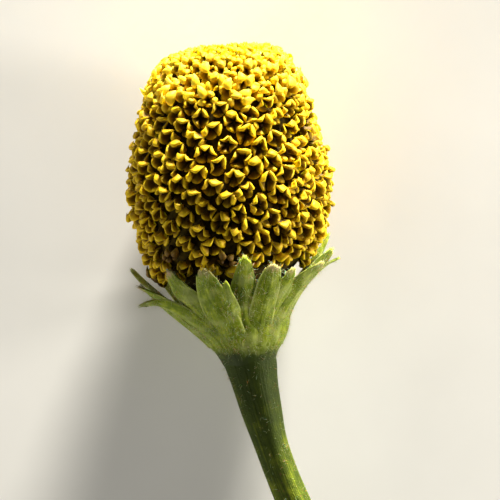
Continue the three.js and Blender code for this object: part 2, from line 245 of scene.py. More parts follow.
def waxy_petal(name, throat, deep_shade, lobe, tip):
    material, tree, surface, along, tone = new_material(name, "along", "tone")
    where = add_node(tree, "ShaderNodeTexCoord").outputs["Object"]
    mottle, grain = (
        add_node(tree, "ShaderNodeTexNoise", {"Vector": where, "Scale": 1 / size, "Detail": detail})
        for size, detail in ((PETAL_MOTTLE, 3.0), (PETAL_GRAIN, 2.0))
    )
    mottled = {0: mottle, 1: MOTTLE_SHARE, 2: along}
    shifted = add_node(tree, "ShaderNodeMath", mottled, operation="MULTIPLY_ADD")
    centred = add_node(tree, "ShaderNodeMath", {0: shifted, 1: MOTTLE_SHARE / 2}, operation="SUBTRACT")
    # The throat and deep-shade stops are painted shade, darkest in the throat; the open petals' darker tip
    # is painted shade too.
    stops = [(0.0, throat), (1.0, tip), (0.3, deep_shade), (0.62, lobe)]
    colour = add_node(tree, "ShaderNodeValToRGB", {"Fac": centred}, stops)
    brightness = add_node(tree, "ShaderNodeMapRange", {"Value": tone, "To Min": 0.8, "To Max": 1.12})
    relief = {"Height": grain, "Strength": 0.25, "Distance": 0.02 * MM}
    finish = {
        "Base Color": add_node(tree, "ShaderNodeHueSaturation", {"Color": colour, "Value": brightness}),
        "Normal": add_node(tree, "ShaderNodeBump", relief),
        "Roughness": add_node(tree, "ShaderNodeMapRange", {"Value": mottle, "To Min": 0.5, "To Max": 0.7}),
        "Specular IOR Level": 0.25,
        "Subsurface Weight": 0.3,
        "Subsurface Radius": (1.0, 0.85, 0.08),
        "Subsurface Scale": 0.35 * MM,
    }
    set_inputs(tree, surface, finish)
    return material


# Open florets: a near-black throat, deep-gold undersides and a darker hanging tip, all painted shade.
open_petal = waxy_petal("waxy_petal", "#241600", "#7c5e00", "#f6cc04", "#b48600")
young_petal = waxy_petal("waxy_young_petal", "#4c3800", "#bc9600", "#f6ca04", "#fddc34")
bud_petal = waxy_petal("waxy_bud", "#a88a10", "#e8c400", "#fbdc20", "#fff27a")
withered_petal = waxy_petal("withered_petal", "#181002", "#3c2a06", "#6a4c10", "#8a6a1e")
print("petals:", ", ".join(made.name for made in (open_petal, young_petal, bud_petal, withered_petal)))

# %% [markdown]
# What lies between the florets is hardly seen, but it sets how dark the gaps are. The receptacle is a
# fleshy cone with chaff, and its rough skin is painted a nearly black brown-green, a painted shade for the
# gaps between the florets. The anther tubes are dry and nearly black-brown, and their tops close the
# throats of the florets in bloom.

# %% Dark skins under the florets
def dark_rough_skin(name, dark, light, grain):
    material, tree, surface = new_material(name)
    where = add_node(tree, "ShaderNodeTexCoord").outputs["Object"]
    noise = add_node(tree, "ShaderNodeTexNoise", {"Vector": where, "Scale": 1 / grain, "Detail": 4.0})
    relief = {"Height": noise, "Strength": 0.5, "Distance": 0.05 * MM}
    finish = {
        "Base Color": add_node(tree, "ShaderNodeValToRGB", {"Fac": noise}, [(0.3, dark), (0.7, light)]),
        "Normal": add_node(tree, "ShaderNodeBump", relief),
        "Roughness": 1.0,
        "Specular IOR Level": 0.2,
    }
    set_inputs(tree, surface, finish)
    return material


# The receptacle's nearly black skin is painted shade for the gaps between the florets.
receptacle_shade = dark_rough_skin("receptacle_painted_shade", "#1c1603", "#4f4009", 0.35 * MM)
anther_brown = dark_rough_skin("dry_anther", "#1c0f02", "#3e2405", 0.1 * MM)
print("under the florets:", receptacle_shade.name, anther_brown.name)

# %% [markdown]
# The head is a cone with a flat, broad crown. Its outline runs from the crown down to the lowest florets,
# and a smooth curve goes through its few points. Florets grow in the double spiral of a daisy: each one
# stands a golden angle on from the last, at the height where the room above it fits one more floret. The
# room is smaller at the crown, where they are still buds. The same rule and the same seeded stream placed
# the florets of the solid, so each one here grows from the spot of its coarse form, 0.1 mm deeper. It nods
# a little towards the stalk, as the photograph shows: its upper lobes arch over a dark throat like a hood,
# and hide the lower ones.

# %% Where the florets stand
HEAD_OUTLINE = [
    (0, 15.3), (1.5, 15.28), (3.1, 15.08), (4.25, 14.5), (4.9, 13.7), (5.5, 12.3), (5.92, 10.9),
    (6.25, 9.6), (6.6, 8.2), (6.9, 6.9), (7.0, 5.6), (6.87, 4.1), (6.65, 2.9), (6.35, 1.8),
    (6.05, 0.9), (5.7, 0.15), (5.2, -0.4),
]
FLORET_COUNT = 470
GOLDEN_ANGLE = math.pi * (3 - math.sqrt(5))
CROWN_SPACING = 0.62
FULL_SPACING_HEIGHT = 8.5
CROWN_TILT = {"rise": 0.035, "from": 10, "to": 15}
BASE_TILT = {"rise": 0.1, "from": 3.5, "to": 0}
DEPTH_SPREAD = 0.06
DOWNWARD_LOOK = 0.55
SUNK = 0.1
HEX_SHARE = math.sqrt(3) / 2
SEED = 20


def smooth_step(value, low, high):
    share = np.clip((np.asarray(value, float) - low) / (high - low), 0, 1)
    return share * share * (3 - 2 * share)


def smooth_line(stations, samples):
    """A smooth curve through a list of stations, with a number of samples between every two."""
    ends = [stations[0], *stations, stations[-1]]
    t = np.linspace(0, 1, samples, endpoint=False)[:, None]
    line = []
    for before, start, end, after in zip(*(np.array(ends[k : len(ends) - 3 + k], float) for k in range(4))):
        leave, arrive = (end - before) / 2, (after - start) / 2
        line.append(
            (2 * t**3 - 3 * t**2 + 1) * start
            + (t**3 - 2 * t**2 + t) * leave
            + (3 * t**2 - 2 * t**3) * end
            + (t**3 - t**2) * arrive
        )
    return np.concatenate([*line, [ends[-1]]])


def tilt_at(x, height):
    """How much higher a point stands because the head's crown and base are tilted."""
    crown = CROWN_TILT["rise"] * smooth_step(height, CROWN_TILT["from"], CROWN_TILT["to"])
    base = BASE_TILT["rise"] * smooth_step(-height, -BASE_TILT["from"], -BASE_TILT["to"])
    return (crown + base) * x


def random_stream(seed):
    """The same repeatable numbers from -1 to 1 that placed the florets of the solid."""
    state = seed
    while True:
        state = (state * 1664525 + 1013904223) % 2**32
        yield state / 2**32 * 2 - 1


def floret_spots():
    """Where each floret stands, which way it faces, how it is turned and how much room it has."""
    line = smooth_line(HEAD_OUTLINE, samples=200)
    step = np.diff(line, axis=0)
    radius, height = ((line[1:] + line[:-1]) / 2).T
    length = np.hypot(*step.T)
    crown = HEAD_OUTLINE[0][1]
    growth = smooth_step(crown - height, 0, crown - FULL_SPACING_HEIGHT)
    share = CROWN_SPACING + (1 - CROWN_SPACING) * growth
    room = np.cumsum(2 * math.pi * radius * length / share**2)
    full_spacing = math.sqrt(room[-1] / (FLORET_COUNT * HEX_SHARE))
    number = np.arange(FLORET_COUNT)
    s = np.searchsorted(room, (number + 0.5) / FLORET_COUNT * room[-1])
    azimuth = -number * GOLDEN_ANGLE
    stream = random_stream(SEED)
    depth, turn = np.array([(next(stream), next(stream)) for _ in number]).T
    outward = around(-step[s, 1] / length[s], azimuth, step[s, 0] / length[s])
    at = around(radius[s], azimuth, height[s])
    at[:, 2] += tilt_at(at[:, 0], at[:, 2])
    at += outward * (depth * DEPTH_SPREAD - SUNK)[:, None]
    facing = outward - np.array([0, 0, DOWNWARD_LOOK])
    facing /= np.linalg.norm(facing, axis=1)[:, None]
    return at, facing, turn * math.pi, full_spacing * share[s], height[s]


spots, facings, turns, spacings, spot_heights = floret_spots()
print(f"florets: {len(spots)}, {spacings.min():.2f} to {spacings.max():.2f} mm apart")

# %% [markdown]
# An open floret is a narrow funnel whose rim splits into four or five broad lobes. Each lobe rises a
# little, folds over and hangs down outside the funnel, so what shows from the front is the fold, a bright
# ridge shaped like a crescent. A ring of points runs round the funnel at each level, from the foot of the
# tube up its outside, under the lobes, round their edges and down into the throat. The rim dips and swings
# outwards between two lobes, so a throat is a star and not a round hole, and a lobe's points draw in
# towards its middle line and bring it to a point. The lobes on a floret's lower side are shorter, which
# leaves its throat open under the arch of the upper ones. All lengths are shares of a floret's room.

# %% Corollas
COLUMNS_A_LOBE = 8
TUBE = [(0.13, -0.85), (0.17, -0.45)]
THROAT = [(0.75, -0.15), (0.3, -0.45)]
LOBE_THICKNESS = 0.035
LOBE_THINNING = 0.5
LOBE_ARCH = 0.08
LOBE_POINT = 0.85
FOLD_SHARE = 0.42
LOWER_SHORTER = 0.35
LENGTH_SPREAD = (0.85, 1.15)
CURL_SPREAD = (0.75, 1.15)
LIFT_SPREAD = (-0.3, 0.3)
ARCH_SPREAD = (0.5, 1.3)
SWING_SPREAD = (-0.25, 0.25)
OVAL_SPREAD = (0.04, 0.2)
ANY_PHASE = (0, 6)
UNDERSIDE_SHARES = (0.14, 0.4, 0.9)
TOP_SHARES = (1.0, 0.65, 0.42, 0.28, 0.14, 0.0)
ALONG = {"tube": 0.15, "rim": 0.45, "throat": 0.4}

OPEN = {
    "mouth": 0.23, "length": 0.52, "lift": 1.05, "curl": 2.75,
    "flare": 0.1, "notch": 0.03, "star": 0.7, "dip": 0.26,
}
YOUNG = {
    "mouth": 0.17, "length": 0.78, "lift": 1.15, "curl": 2.35,
    "flare": 0.15, "notch": 0.05, "star": 0.4, "dip": 0.12,
}
BUD = {
    "mouth": 0.38, "length": 0.5, "lift": 1.45, "curl": -1.25,
    "flare": 0, "notch": 0.72, "star": -0.16, "dip": 0,
}


def lobe_arc(length, lift, curl, share):
    """How far out and up a share of a folding lobe lies from the rim, and which way it heads there."""
    folded = np.minimum(share, FOLD_SHARE)
    heading = lift - curl * folded / FOLD_SHARE
    bend = length * FOLD_SHARE / curl
    straight = length * (share - folded)
    out = bend * (np.sin(lift) - np.sin(heading)) + straight * np.cos(heading)
    up = bend * (np.cos(heading) - np.cos(lift)) + straight * np.sin(heading)
    return out, up, heading


def corolla(lobes, kind, random):
    """The skin of one floret and how far each of its points lies from the throat to the lobes' tips."""
    count = lobes * COLUMNS_A_LOBE
    column = np.arange(count)
    half = COLUMNS_A_LOBE // 2
    phase = 2 * (((column + half) % COLUMNS_A_LOBE) / COLUMNS_A_LOBE - 0.5)
    lobe = ((column + half) // COLUMNS_A_LOBE) % lobes
    edge = kind["notch"] + (1 - kind["notch"]) * (1 - np.abs(phase)) ** LOBE_POINT

    def varied(spread):
        return random.uniform(*spread, lobes)[lobe]

    lower = np.maximum(-np.sin(2 * math.pi * lobe / lobes), 0)
    lengths = kind["length"] * varied(LENGTH_SPREAD) * (1 - LOWER_SHORTER * lower)
    curls = kind["curl"] * varied(CURL_SPREAD)
    lifts = kind["lift"] + varied(LIFT_SPREAD)
    arch = LOBE_ARCH * varied(ARCH_SPREAD) * phase**2
    swing = varied(SWING_SPREAD) * edge
    oval_share, oval_turn = random.uniform(*OVAL_SPREAD), random.uniform(*ANY_PHASE)
    rim = kind["mouth"] * (1 + kind["star"] * phase**2)
    dip = -kind["dip"] * phase**2

    def ring(radius, height, share=0.0):
        middle = 2 * math.pi * (column - phase * half) / count
        angle = middle + math.pi * phase / lobes * (1 + kind["flare"] * share) + swing * share
        wide = radius * (1 + oval_share * np.cos(2 * angle + oval_turn))
        return np.stack([wide * np.cos(angle), wide * np.sin(angle), np.broadcast_to(height, count)], -1)

    rings = [ring(radius, height) for radius, height in TUBE]
    along = [ALONG["tube"]] * len(TUBE)
    # The lobes' undersides read a darker gold from the ramp, a painted shade under the lobes.
    for share in UNDERSIDE_SHARES:
        out, up, heading = lobe_arc(lengths, lifts, curls, share * edge)
        thick = LOBE_THICKNESS * (1 - LOBE_THINNING * share)
        under = rim + out + thick * np.sin(heading)
        rings.append(ring(under, dip + up - thick * np.cos(heading) - arch * share, share))
        along.append(ALONG["rim"])
    for share in TOP_SHARES:
        out, up, _ = lobe_arc(lengths, lifts, curls, share * edge)
        rings.append(ring(rim + out, dip + up - arch * share, share))
        along.append(ALONG["rim"] + (1 - ALONG["rim"]) * share)
    # Rings deeper in the throat read further down the ramp, a painted shade that darkens with depth.
    for share, height in THROAT:
        rings.append(ring(rim * share, height + dip * share))
        along.append(max(ALONG["throat"] + height, 0))
    return skin(rings), with_poles(np.repeat(np.array(along)[:, None], count, 1))


random = np.random.default_rng(SEED)
open_forms = [corolla(lobes, OPEN, random) for lobes in (4, 5, 4, 4, 5, 4, 4, 5, 4, 4, 5, 4)]
young_forms = [corolla(lobes, YOUNG, random) for lobes in (4, 5, 4, 5, 4)]
bud_forms = [corolla(lobes, BUD, random) for lobes in (5, 4, 5, 4)]
print("forms:", len(open_forms), "open,", len(young_forms), "young,", len(bud_forms), "buds")

# %% [markdown]
# Placing hundreds of copies is work for Geometry Nodes. Florets and hairs need two steps in common: each
# copy leans a little at random, and at the end all copies get a tone of their own, become real, are
# pressed flat where they would sink into the surface, and take their material.

# %% Steps that all planting shares
def new_tree(name, inputs):
    """An empty geometry tree, with its named inputs and the sockets that give their values."""
    tree = bpy.data.node_groups.new(name, "GeometryNodeTree")
    for label, kind in inputs.items():
        tree.interface.new_socket(name=label, in_out="INPUT", socket_type="NodeSocket" + kind)
    tree.interface.new_socket(name="Grown", in_out="OUTPUT", socket_type="NodeSocketGeometry")
    return tree, add_node(tree, "NodeGroupInput").outputs


def leaned(tree, given, rotation):
    """A rotation, turned a little at random about all three axes."""
    least = add_node(tree, "ShaderNodeMath", {0: given["Lean"], 1: -1.0}, operation="MULTIPLY")
    range_of_lean = {"Min": least, "Max": given["Lean"], "Seed": given["Seed"]}
    lean = add_node(tree, "FunctionNodeRandomValue", range_of_lean, data_type="FLOAT_VECTOR")
    turning = {"Rotation": rotation, "Rotate By": lean}
    return add_node(tree, "FunctionNodeRotateRotation", turning, rotation_space="LOCAL")


def finish_copies(tree, given, copies, tone):
    """Gives the copies a tone each, makes them real, presses them flat and gives them their material."""
    kept = {"Geometry": copies, "Name": "tone", "Value": tone}
    toned = add_node(tree, "GeometryNodeStoreNamedAttribute", kept, data_type="FLOAT", domain="INSTANCE")
    real = add_node(tree, "GeometryNodeRealizeInstances", {"Geometry": toned})
    place = add_node(tree, "ShaderNodeSeparateXYZ", {0: add_node(tree, "GeometryNodeInputPosition")}).outputs
    above = add_node(tree, "ShaderNodeMath", {0: place["Z"], 1: 0.0}, operation="MAXIMUM")
    pressed = add_node(tree, "ShaderNodeCombineXYZ", {"X": place["X"], "Y": place["Y"], "Z": above})
    flat = add_node(tree, "GeometryNodeSetPosition", {"Geometry": real, "Position": pressed})
    coated = add_node(tree, "GeometryNodeSetMaterial", {"Geometry": flat, "Material": given["Material"]})
    add_node(tree, "NodeGroupOutput", {"Grown": coated})


def grow(name, source, tree, values):
    """What a tree makes of an object, as an object of its own with a plain mesh."""
    modifier = source.modifiers.new("grow", "NODES")
    modifier.node_group = tree
    for socket in tree.interface.items_tree:
        if socket.in_out == "INPUT" and socket.name in values:
            modifier[socket.identifier] = values[socket.name]
    bpy.context.view_layer.update()
    seen = bpy.context.evaluated_depsgraph_get()
    mesh = bpy.data.meshes.new_from_object(
        source.evaluated_get(seen), preserve_all_data_layers=True, depsgraph=seen
    )
    mesh.name = name
    source.modifiers.remove(modifier)
    return show(name, mesh)


# %% [markdown]
# For the florets, the points carry where each copy goes, its turn, its size and which form it takes, and
# the tree puts that form on each point. The result is kept as a plain mesh and the points thrown away.

# %% A tree that plants florets
def plant_tree(name):
    numbers = {"Size": "Float", "Lean": "Float", "Seed": "Int"}
    inputs = {"Spots": "Geometry", "Forms": "Collection", **numbers, "Material": "Material"}
    tree, given = new_tree(name, inputs)
    facing, room, form = (
        add_node(tree, "GeometryNodeInputNamedAttribute", {"Name": key}, data_type=kind)
        for key, kind in (("facing", "FLOAT_VECTOR"), ("room", "FLOAT"), ("form", "INT"))
    )
    whole = {"Collection": given["Forms"], "Separate Children": True, "Reset Children": True}
    copies = {
        "Points": given["Spots"],
        "Instance": add_node(tree, "GeometryNodeCollectionInfo", whole),
        "Pick Instance": True,
        "Instance Index": form,
        "Rotation": leaned(tree, given, facing),
        "Scale": add_node(tree, "ShaderNodeMath", {0: room, 1: given["Size"]}, operation="MULTIPLY"),
    }
    planted = add_node(tree, "GeometryNodeInstanceOnPoints", copies)
    tone = add_node(tree, "FunctionNodeRandomValue", {"Seed": given["Seed"]}, data_type="FLOAT")
    finish_copies(tree, given, planted, tone)
    return tree


def collection_of(name, meshes):
    """A collection of hidden forms, in the order of their names."""
    forms = bpy.data.collections.new(name)
    for i, mesh in enumerate(meshes):
        forms.objects.link(bpy.data.objects.new(f"{name}_{i:02d}", mesh))
    return forms


planting = plant_tree("plant_florets")
print("planting tree:", len(planting.nodes), "nodes")

# %% [markdown]
# The oldest florets stand lowest and are wide open, and a few of these have withered and turned brown.
# Above them come some rings of young ones whose lobes still stand up, and the crown is all closed buds.
# Each floret is turned only a share of the way that the solid's are, so one of its lobes always points
# near the crown, and its size varies by up to a tenth. Each group is planted as one piece, and the open
# florets as two, below and above the middle height.

# %% Plant the florets
YOUNG_HEIGHT = 11.2
BUD_HEIGHT = 14.3
MIDDLE_HEIGHT = 6.0
WITHERED_BELOW = 1.6
WITHERED_SHARE = 0.1
WITHERED_SEED = 3
SIZE_SPREAD = (0.93, 1.1)
TURN_SHARE = 0.15
FLORET_LEAN = 0.36


def facing_angles(facing, turns):
    """The rotation that points a copy's +Z outward and turns it on the spot, as Euler angles."""
    forward = np.stack([facing[:, 0], facing[:, 2], -facing[:, 1]], -1)
    sideways = np.cross([0, 1, 0], forward)
    along_y = np.linalg.norm(sideways, axis=1) < 0.01
    sideways[along_y] = (1, 0, 0)
    sideways /= np.linalg.norm(sideways, axis=1)[:, None]
    upward = np.cross(forward, sideways)
    c, s = np.cos(turns)[:, None], np.sin(turns)[:, None]
    x_axis, y_axis = c * sideways + s * upward, -s * sideways + c * upward
    pitch = np.arcsin(np.clip(-x_axis[:, 2], -1, 1))
    roll = np.arctan2(y_axis[:, 2], forward[:, 2])
    yaw = np.arctan2(x_axis[:, 1], x_axis[:, 0])
    return np.stack([roll, pitch, yaw], -1)


def plant(name, chosen, forms, material, size, lean, seed):
    """Plants one of the forms, picked at random, on each chosen floret's spot."""
    random = np.random.default_rng(seed)
    mesh = bpy.data.meshes.new(name)
    mesh.from_pydata(laid(spots[chosen]).tolist(), [], [])
    angles = facing_angles(facings[chosen], turns[chosen] * TURN_SHARE)
    mesh.attributes.new("facing", "FLOAT_VECTOR", "POINT").data.foreach_set("vector", angles.ravel())
    rooms = spacings[chosen] * MM * random.uniform(*SIZE_SPREAD, len(angles))
    mesh.attributes.new("room", "FLOAT", "POINT").data.foreach_set("value", rooms)
    picks = random.integers(0, len(forms), len(angles))
    mesh.attributes.new("form", "INT", "POINT").data.foreach_set("value", picks)
    meshes = [mesh_of(f"{name}_form", [form], {"along": [along]}) for form, along in forms]
    source = show(f"{name}_spots", mesh)
    values = {
        "Forms": collection_of(name, meshes), "Size": size, "Lean": lean, "Seed": seed, "Material": material
    }
    piece = grow(name, source, planting, values)
    bpy.data.objects.remove(source)
    return piece


luck = np.random.default_rng(WITHERED_SEED).uniform(0, 1, FLORET_COUNT)
is_withered = (spot_heights < WITHERED_BELOW) & (luck < WITHERED_SHARE)
is_bud = spot_heights > BUD_HEIGHT
is_young = (spot_heights > YOUNG_HEIGHT) & ~is_bud
is_upper = (spot_heights > MIDDLE_HEIGHT) & ~is_young & ~is_bud & ~is_withered
is_lower = (spot_heights <= MIDDLE_HEIGHT) & ~is_withered
for name, chosen, forms, material, size, seed in (
    ("florets_lower", is_lower, open_forms, open_petal, 1.09, 1),
    ("florets_upper", is_upper, open_forms, open_petal, 1.09, 2),
    ("florets_young", is_young, young_forms, young_petal, 1.14, 3),
    ("florets_in_bud", is_bud, bud_forms, bud_petal, 1.14, 4),
    ("florets_withered", is_withered, young_forms, withered_petal, 0.85, 6),
):
    florets = plant(name, chosen, forms, material, size, FLORET_LEAN, seed)
    finish_piece(florets, "disc_florets")

# %% [markdown]
# The anther tube fills the middle of a throat and ends in a small blunt rim. Only florets in full bloom
# show it, so one open floret in three gets one. The receptacle is the fleshy cone that the florets stand
# on. It follows the head's outline at a depth where only their tubes reach it.

# %% Anther tubes and the receptacle
ANTHER_RINGS = [(0.07, -0.5), (0.08, -0.3), (0.06, -0.18), (0.02, -0.22)]
ANTHER_SIDES = 6
ANTHER_LEAN = 0.1
FLORETS_AN_ANTHER = 3
RECEPTACLE_DEPTH = 0.75
RECEPTACLE_SIDES = 64
RECEPTACLE_TOP_RADIUS = 0.05
RECEPTACLE_FOOT = [(3.4, -1.1), (1.6, -1.4)]

angle = np.arange(ANTHER_SIDES) / ANTHER_SIDES * 2 * math.pi
anther_rings = [
    np.stack([r * np.cos(angle), r * np.sin(angle), np.full(ANTHER_SIDES, z)], -1) for r, z in ANTHER_RINGS
]
anther = (skin(anther_rings), with_poles(np.zeros((len(ANTHER_RINGS), ANTHER_SIDES))))
in_bloom = (is_lower | is_upper) & (np.arange(FLORET_COUNT) % FLORETS_AN_ANTHER == 0)
anthers = plant("anther_tubes", in_bloom, [anther], anther_brown, 1.0, ANTHER_LEAN, 5)
finish_piece(anthers, "disc_florets")

outline = smooth_line(HEAD_OUTLINE, samples=4)
edge = np.gradient(outline, axis=0)
inward = np.stack([edge[:, 1], -edge[:, 0]], -1) / np.hypot(*edge.T)[:, None]
inner = outline + inward * RECEPTACLE_DEPTH
inner = inner[inner[:, 0] > RECEPTACLE_TOP_RADIUS]
inner = np.concatenate([inner, RECEPTACLE_FOOT])[::-1]
ring = -np.arange(RECEPTACLE_SIDES) / RECEPTACLE_SIDES * 2 * math.pi
receptacle_rings = around(inner[:, :1], ring, inner[:, 1:])
receptacle_rings[..., 2] += tilt_at(receptacle_rings[..., 0], receptacle_rings[..., 2])
receptacle = show("receptacle", mesh_of("receptacle", [skin(laid(receptacle_rings))]), receptacle_shade)
finish_piece(receptacle, "disc_florets")

# %% [markdown]
# Bracts and cup are leaf tissue: dull green, paler and thinner to the margins, with fine lengthwise
# fibres about 0.2 mm apart and, on some bracts only, a tip that has dried to a pinkish brown. Attributes
# say how far along and across its bract each point lies, so the fibres follow the blade however it bends.
# Scattered pale flecks stand for the finest of the fuzz, which is too short to be modelled as hairs. In
# woolly patches of a millimetre or so it covers the green. The neck under the cup is painted a deeper green
# in ragged patches, a painted shade under the cup's flare. Light that goes into a leaf comes out
# yellow-green.

# %% Leafy green
LEAF_VALUES = ("along", "across", "tone", "dryness", "neck")
LEAF_BLOTCH = 0.5 * MM
FLECK_SIZE = 0.13 * MM
WOOL_PATCH = 1.3 * MM
FUZZ_SHARE = 0.3
FLECK_RELIEF = 0.5
BLOTCH_SHARE = 0.45
NECK_SHADE_RAGGEDNESS = 0.9
TIP_UNEVENNESS = 0.3
FIBRES_ACROSS = 5.0
FIBRES_ALONG = 1.2
FIBRE_SHIFT = 20.0
# The painted shade on the neck and on the upper stalk.
NECK_SHADE_GREEN = "#313f06"
GREEN_GLOW = (0.85, 1.0, 0.12)


def leafy_green(name, dark, mid, light, pale, dry):
    material, tree, surface, along, across, tone, dryness, neck = new_material(name, *LEAF_VALUES)
    where = add_node(tree, "ShaderNodeTexCoord").outputs["Object"]
    stretched = add_node(tree, "ShaderNodeMath", {0: along, 1: FIBRES_ALONG}, operation="MULTIPLY")
    shifted = add_node(tree, "ShaderNodeMath", {0: tone, 1: FIBRE_SHIFT}, operation="MULTIPLY")
    place = add_node(tree, "ShaderNodeCombineXYZ", {"X": stretched, "Y": across, "Z": shifted})
    fibres = add_node(tree, "ShaderNodeTexNoise", {"Vector": place, "Scale": FIBRES_ACROSS, "Detail": 3.0})
    blotch, flecks, woolly = (
        add_node(tree, "ShaderNodeTexNoise", {"Vector": where, "Scale": 1 / size, "Detail": detail})
        for size, detail in ((LEAF_BLOTCH, 4.0), (FLECK_SIZE, 2.0), (WOOL_PATCH, 3.0))
    )
    mixed = add_node(tree, "ShaderNodeMix", {0: BLOTCH_SHARE, 2: fibres, 3: blotch}, data_type="FLOAT")
    green = add_node(tree, "ShaderNodeValToRGB", {"Fac": mixed}, [(0.24, dark), (0.74, light), (0.5, mid)])
    value = add_node(tree, "ShaderNodeMapRange", {"Value": tone, "To Min": 0.88, "To Max": 1.12})
    colour = add_node(tree, "ShaderNodeHueSaturation", {"Color": green, "Value": value})

    # The margins and the fuzz are pale, the neck gets a painted shade of deep green and the dry tips are
    # brown, in that order.
    side = add_node(tree, "ShaderNodeMath", {0: across}, operation="ABSOLUTE")
    margin = add_node(tree, "ShaderNodeMapRange", {"Value": side, "From Min": 0.86, "To Max": 0.5})
    specks = {"Value": flecks, "From Min": 0.58, "From Max": 0.76, "To Max": FUZZ_SHARE}
    fleck = add_node(tree, "ShaderNodeMapRange", specks)
    patches = {"Value": woolly, "From Min": 0.5, "From Max": 0.66, "To Min": fleck, "To Max": FUZZ_SHARE}
    wool = add_node(tree, "ShaderNodeMapRange", patches)
    paled = add_node(tree, "ShaderNodeMath", {0: margin, 1: wool}, operation="MAXIMUM")
    # Painted shade of deep green on the neck under the cup, with a ragged edge.
    lowered = {0: blotch, 1: NECK_SHADE_RAGGEDNESS, 2: neck}
    low = add_node(tree, "ShaderNodeMath", lowered, operation="MULTIPLY_ADD")
    deep_shade = add_node(tree, "ShaderNodeMapRange", {"Value": low, "From Min": 0.75, "From Max": 1.3})
    uneven = {0: fibres, 1: TIP_UNEVENNESS, 2: along}
    ragged = add_node(tree, "ShaderNodeMath", uneven, operation="MULTIPLY_ADD")
    withering = {"Value": ragged, "From Min": 1.03, "From Max": 1.12, "To Max": dryness}
    dried = add_node(tree, "ShaderNodeMapRange", withering)
    for share, over in ((paled, pale), (deep_shade, NECK_SHADE_GREEN), (dried, dry)):
        laid_over = {0: share, 6: colour, 7: linear(over)}
        colour = add_node(tree, "ShaderNodeMix", laid_over, data_type="RGBA")

    raised = {0: flecks, 1: FLECK_RELIEF, 2: fibres}
    height = add_node(tree, "ShaderNodeMath", raised, operation="MULTIPLY_ADD")
    relief = {"Height": height, "Strength": 0.55, "Distance": 0.07 * MM}
    finish = {
        "Base Color": colour,
        "Normal": add_node(tree, "ShaderNodeBump", relief),
        "Roughness": 0.6,
        "Specular IOR Level": 0.2,
        "Subsurface Weight": 0.2,
        "Subsurface Radius": GREEN_GLOW,
        "Subsurface Scale": 0.3 * MM,
    }
    set_inputs(tree, surface, finish)
    return material


bract_green = leafy_green("leafy_bract", "#384a06", "#72840f", "#b2bc32", "#d0d684", "#a8926a")
print("leaf material:", bract_green.name)

# %% [markdown]
# Nineteen bracts stand round the head in two rows that overlap. Each is a thin blade along a curve that
# leaves the cup, turns outwards at its shoulder and ends upright, leaning or rolled right back. A blade
# built from rings can thin out to its margins, carry a keel, wave a little and end in a ragged tip,
# which a thickened flat sheet would not. Its side columns stop short of its middle one, and how much
# short decides whether the tip is pointed or blunt. The bracts at the sides of the picture swing round
# from root to tip, and as they swing they bank, so that one side margin of the blade rises.

# %% Bracts
# For each bract: the azimuth of its tip and how far its root is swung from there, in degrees, the reach
# and height of the tip and the width in mm, the lean in degrees, whether it is in the outer row, and how
# blunt and how dry its tip is.
BRACTS = [
    (10, 18, 7.1, 1.25, 2.2, 40, 0, 0.6, 0.0), (29, 10, 7.05, 0.35, 2.2, 50, 1, 0.6, 0.7),
    (53, 0, 6.8, 0.1, 2.1, 35, 0, 0.4, 0.6), (66, 0, 6.75, 0.4, 1.9, 25, 1, 0.9, 0.9),
    (83, 0, 6.8, 1.15, 2.1, 15, 0, 0.4, 0.0), (95, 0, 6.5, -0.5, 1.2, 30, 0, 0.4, 0.0),
    (107, 0, 6.7, 0.4, 2.3, 25, 1, 0.6, 0.8), (130, -6, 6.9, 0.45, 2.3, 30, 0, 0.3, 1.0),
    (153, -22, 7.6, -2.15, 1.9, 115, 1, 0.5, 0.3), (171, -16, 7.0, -0.65, 2.0, 65, 0, 0.2, 1.0),
    (184, 0, 6.7, -0.5, 1.8, 40, 1, 0.3, 0.4), (199, 0, 7.75, 0.7, 1.6, 35, 0, 0.3, 0.0),
    (220, 0, 6.6, -0.3, 1.9, 35, 1, 0.3, 0.5), (242, 0, 6.3, -0.5, 2.0, 20, 0, 0.4, 0.0),
    (264, 0, 6.25, -0.5, 1.9, 20, 1, 0.3, 0.8), (286, 0, 6.25, -0.4, 2.0, 20, 0, 0.5, 0.2),
    (309, 0, 6.6, 0.0, 1.9, 25, 1, 0.3, 0.0), (336, 0, 7.5, 2.5, 1.5, 15, 0, 0.3, 0.0),
    (352, 8, 7.75, 0.5, 1.6, 80, 1, 0.5, 0.0),
]
BRACT_ROOT = (2.35, -5.2)
BRACT_SHOULDER = (3.4, -2.7)
SHOULDER_TILT = (-0.2, 0.5)
BRACT_LEAD = 2.2
BRACT_THICKNESS = 0.26
BRACT_ROWS = 28
BRACT_COLUMNS = 13
BRACT_FORM = [(0, 0.8), (0.18, 0.94), (0.36, 1), (0.54, 0.98), (0.71, 0.92), (0.86, 0.82), (1, 0.62)]
TIP_ROUNDING = 0.3
TIP_RAGGEDNESS = 0.05
NECK_BEND = {"shift": 0.75, "from": 0.5, "to": 7.5}
NECK_HEIGHTS = (4.4, 6.5)
BANK = 0.02
SWING_EASE = 1.5
LAYER_LIFT = 0.16
LAYER_ENDS = 5 / 6
BRACT_SEED = 7
KEEL = {"height": 0.1, "width": 0.16}
MARGIN_THINNING = 0.75
TIP_THINNING = 0.6
WAVE = {"height": 0.08, "turns": 9}
CUPPING = (-0.18, 0.02)


def bent(points):
    """Points of the green parts, moved to +X as the neck bends."""
    points = np.array(points, float)
    points[..., 0] += NECK_BEND["shift"] * smooth_step(-points[..., 2], NECK_BEND["from"], NECK_BEND["to"])
    return points


def neck_share(height):
    """How far down a point lies in the neck, where leaf turns to stalk."""
    return smooth_step(-np.asarray(height), NECK_HEIGHTS[0], NECK_HEIGHTS[1])


